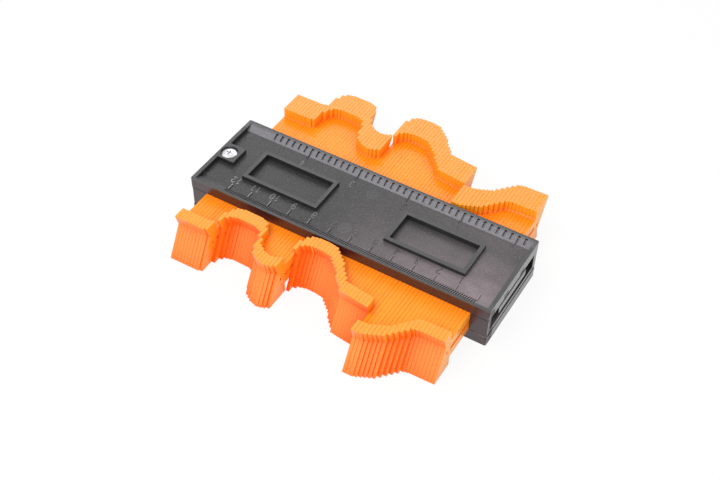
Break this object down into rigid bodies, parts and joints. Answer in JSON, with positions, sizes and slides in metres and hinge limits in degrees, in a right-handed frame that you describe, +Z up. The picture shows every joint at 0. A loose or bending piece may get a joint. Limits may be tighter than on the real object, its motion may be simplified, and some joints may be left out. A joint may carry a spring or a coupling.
{
  "type": "contour gauge",
  "caption": "Contour gauge: a row of thin sliding fingers between two ruled covers copies a profile; a clamping screw sets the drag.",
  "frame": {"origin": "middle of the body's underside", "axes": "+X along the body towards the hollow end block, +Y the way the fingers slide to the rear, +Z up through the ruled cover"},
  "size_m": [0.1448, 0.1299, 0.0208],
  "materials": {
    "casing_plastic": "fine-grained charcoal moulding",
    "finger_plastic": "satin orange moulding",
    "screw_steel": "bright zinc plate",
    "nut_steel": "plain zinc plate",
    "strip_felt": "pressed felt"
  },
  "bodies": {
    "casing": {"top_cover": "casing_plastic", "bottom_cover": "casing_plastic", "left_end_block": "casing_plastic", "right_end_block": "casing_plastic", "clamp_nut": "nut_steel", "upper_front_strip": "strip_felt", "upper_rear_strip": "strip_felt", "lower_front_strip": "strip_felt", "lower_rear_strip": "strip_felt"},
    "tension_screw": {"tension_screw": "screw_steel"},
    "fingers_01_02": {"fingers_01_02": "finger_plastic"},
    "fingers_03_04": {"fingers_03_04": "finger_plastic"},
    "fingers_05_06": {"fingers_05_06": "finger_plastic"},
    "fingers_07_08": {"fingers_07_08": "finger_plastic"},
    "fingers_09_10": {"fingers_09_10": "finger_plastic"},
    "fingers_11_12": {"fingers_11_12": "finger_plastic"},
    "fingers_13_14": {"fingers_13_14": "finger_plastic"},
    "fingers_15_16": {"fingers_15_16": "finger_plastic"},
    "fingers_17_18": {"fingers_17_18": "finger_plastic"},
    "fingers_19_20": {"fingers_19_20": "finger_plastic"},
    "fingers_21_22": {"fingers_21_22": "finger_plastic"},
    "fingers_23_24": {"fingers_23_24": "finger_plastic"},
    "fingers_25_26": {"fingers_25_26": "finger_plastic"},
    "fingers_27_28": {"fingers_27_28": "finger_plastic"},
    "fingers_29_30": {"fingers_29_30": "finger_plastic"},
    "fingers_31_32": {"fingers_31_32": "finger_plastic"},
    "fingers_33_34": {"fingers_33_34": "finger_plastic"},
    "fingers_35_36": {"fingers_35_36": "finger_plastic"},
    "fingers_37_38": {"fingers_37_38": "finger_plastic"},
    "fingers_39_40": {"fingers_39_40": "finger_plastic"},
    "fingers_41_42": {"fingers_41_42": "finger_plastic"},
    "fingers_43_44": {"fingers_43_44": "finger_plastic"},
    "fingers_45_46": {"fingers_45_46": "finger_plastic"},
    "fingers_47_48": {"fingers_47_48": "finger_plastic"},
    "fingers_49_50": {"fingers_49_50": "finger_plastic"},
    "fingers_51_52": {"fingers_51_52": "finger_plastic"},
    "fingers_53_54": {"fingers_53_54": "finger_plastic"},
    "fingers_55_56": {"fingers_55_56": "finger_plastic"},
    "fingers_57_58": {"fingers_57_58": "finger_plastic"},
    "fingers_59_60": {"fingers_59_60": "finger_plastic"},
    "fingers_61_62": {"fingers_61_62": "finger_plastic"},
    "fingers_63_64": {"fingers_63_64": "finger_plastic"},
    "fingers_65_66": {"fingers_65_66": "finger_plastic"},
    "fingers_67_68": {"fingers_67_68": "finger_plastic"},
    "fingers_69_70": {"fingers_69_70": "finger_plastic"},
    "fingers_71_72": {"fingers_71_72": "finger_plastic"},
    "fingers_73_74": {"fingers_73_74": "finger_plastic"},
    "fingers_75_76": {"fingers_75_76": "finger_plastic"},
    "fingers_77_78": {"fingers_77_78": "finger_plastic"},
    "finger_79": {"finger_79": "finger_plastic"}
  },
  "joints": [
    {"name": "screw_turn", "type": "hinge", "parent": "casing", "child": "tension_screw", "pos_m": [-0.06794, 0, 0.0104], "axis": [0, 0, 1], "range_deg": [-180, 180]},
    {"name": "slide_01_02", "type": "slide", "parent": "casing", "child": "fingers_01_02", "axis": [0, 1, 0], "range_m": [-0.01495, 0.01583]},
    {"name": "slide_03_04", "type": "slide", "parent": "casing", "child": "fingers_03_04", "axis": [0, 1, 0], "range_m": [-0.01498, 0.0158]},
    {"name": "slide_05_06", "type": "slide", "parent": "casing", "child": "fingers_05_06", "axis": [0, 1, 0], "range_m": [-0.01502, 0.01576]},
    {"name": "slide_07_08", "type": "slide", "parent": "casing", "child": "fingers_07_08", "axis": [0, 1, 0], "range_m": [-0.01505, 0.01573]},
    {"name": "slide_09_10", "type": "slide", "parent": "casing", "child": "fingers_09_10", "axis": [0, 1, 0], "range_m": [-0.01509, 0.01511]},
    {"name": "slide_11_12", "type": "slide", "parent": "casing", "child": "fingers_11_12", "axis": [0, 1, 0], "range_m": [-0.02244, 0.00519]},
    {"name": "slide_13_14", "type": "slide", "parent": "casing", "child": "fingers_13_14", "axis": [0, 1, 0], "range_m": [-0.02711, 0.00324]},
    {"name": "slide_15_16", "type": "slide", "parent": "casing", "child": "fingers_15_16", "axis": [0, 1, 0], "range_m": [-0.028, 0.00279]},
    {"name": "slide_17_18", "type": "slide", "parent": "casing", "child": "fingers_17_18", "axis": [0, 1, 0], "range_m": [-0.02794, 0.00283]},
    {"name": "slide_19_20", "type": "slide", "parent": "casing", "child": "fingers_19_20", "axis": [0, 1, 0], "range_m": [-0.02787, 0.00289]},
    {"name": "slide_21_22", "type": "slide", "parent": "casing", "child": "fingers_21_22", "axis": [0, 1, 0], "range_m": [-0.02676, 0.00346]},
    {"name": "slide_23_24", "type": "slide", "parent": "casing", "child": "fingers_23_24", "axis": [0, 1, 0], "range_m": [-0.01791, 0.00689]},
    {"name": "slide_25_26", "type": "slide", "parent": "casing", "child": "fingers_25_26", "axis": [0, 1, 0], "range_m": [-0.01376, 0.01587]},
    {"name": "slide_27_28", "type": "slide", "parent": "casing", "child": "fingers_27_28", "axis": [0, 1, 0], "range_m": [-0.01216, 0.01819]},
    {"name": "slide_29_30", "type": "slide", "parent": "casing", "child": "fingers_29_30", "axis": [0, 1, 0], "range_m": [-0.0117, 0.01888]},
    {"name": "slide_31_32", "type": "slide", "parent": "casing", "child": "fingers_31_32", "axis": [0, 1, 0], "range_m": [-0.01248, 0.01742]},
    {"name": "slide_33_34", "type": "slide", "parent": "casing", "child": "fingers_33_34", "axis": [0, 1, 0], "range_m": [-0.0255, 0.0023]},
    {"name": "slide_35_36", "type": "slide", "parent": "casing", "child": "fingers_35_36", "axis": [0, 1, 0], "range_m": [-0.02984, 0.00051]},
    {"name": "slide_37_38", "type": "slide", "parent": "casing", "child": "fingers_37_38", "axis": [0, 1, 0], "range_m": [-0.03065, 0.00015]},
    {"name": "slide_39_40", "type": "slide", "parent": "casing", "child": "fingers_39_40", "axis": [0, 1, 0], "range_m": [-0.03054, 0.00015]},
    {"name": "slide_41_42", "type": "slide", "parent": "casing", "child": "fingers_41_42", "axis": [0, 1, 0], "range_m": [-0.02999, 0.00052]},
    {"name": "slide_43_44", "type": "slide", "parent": "casing", "child": "fingers_43_44", "axis": [0, 1, 0], "range_m": [-0.02717, 0.00222]},
    {"name": "slide_45_46", "type": "slide", "parent": "casing", "child": "fingers_45_46", "axis": [0, 1, 0], "range_m": [-0.02434, 0.00505]},
    {"name": "slide_47_48", "type": "slide", "parent": "casing", "child": "fingers_47_48", "axis": [0, 1, 0], "range_m": [-0.0199, 0.00916]},
    {"name": "slide_49_50", "type": "slide", "parent": "casing", "child": "fingers_49_50", "axis": [0, 1, 0], "range_m": [-0.01608, 0.01262]},
    {"name": "slide_51_52", "type": "slide", "parent": "casing", "child": "fingers_51_52", "axis": [0, 1, 0], "range_m": [-0.01564, 0.01497]},
    {"name": "slide_53_54", "type": "slide", "parent": "casing", "child": "fingers_53_54", "axis": [0, 1, 0], "range_m": [-0.01525, 0.01536]},
    {"name": "slide_55_56", "type": "slide", "parent": "casing", "child": "fingers_55_56", "axis": [0, 1, 0], "range_m": [-0.01486, 0.01574]},
    {"name": "slide_57_58", "type": "slide", "parent": "casing", "child": "fingers_57_58", "axis": [0, 1, 0], "range_m": [-0.01448, 0.01613]},
    {"name": "slide_59_60", "type": "slide", "parent": "casing", "child": "fingers_59_60", "axis": [0, 1, 0], "range_m": [-0.00154, 0.02919]},
    {"name": "slide_61_62", "type": "slide", "parent": "casing", "child": "fingers_61_62", "axis": [0, 1, 0], "range_m": [-0.00167, 0.0286]},
    {"name": "slide_63_64", "type": "slide", "parent": "casing", "child": "fingers_63_64", "axis": [0, 1, 0], "range_m": [-0.00294, 0.02711]},
    {"name": "slide_65_66", "type": "slide", "parent": "casing", "child": "fingers_65_66", "axis": [0, 1, 0], "range_m": [-0.00444, 0.02562]},
    {"name": "slide_67_68", "type": "slide", "parent": "casing", "child": "fingers_67_68", "axis": [0, 1, 0], "range_m": [-0.0069, 0.0221]},
    {"name": "slide_69_70", "type": "slide", "parent": "casing", "child": "fingers_69_70", "axis": [0, 1, 0], "range_m": [-0.01049, 0.01852]},
    {"name": "slide_71_72", "type": "slide", "parent": "casing", "child": "fingers_71_72", "axis": [0, 1, 0], "range_m": [-0.01403, 0.01623]},
    {"name": "slide_73_74", "type": "slide", "parent": "casing", "child": "fingers_73_74", "axis": [0, 1, 0], "range_m": [-0.01481, 0.01595]},
    {"name": "slide_75_76", "type": "slide", "parent": "casing", "child": "fingers_75_76", "axis": [0, 1, 0], "range_m": [-0.0149, 0.01586]},
    {"name": "slide_77_78", "type": "slide", "parent": "casing", "child": "fingers_77_78", "axis": [0, 1, 0], "range_m": [-0.01498, 0.01577]},
    {"name": "slide_79", "type": "slide", "parent": "casing", "child": "finger_79", "axis": [0, 1, 0], "range_m": [-0.01507, 0.01573]}
  ]
}
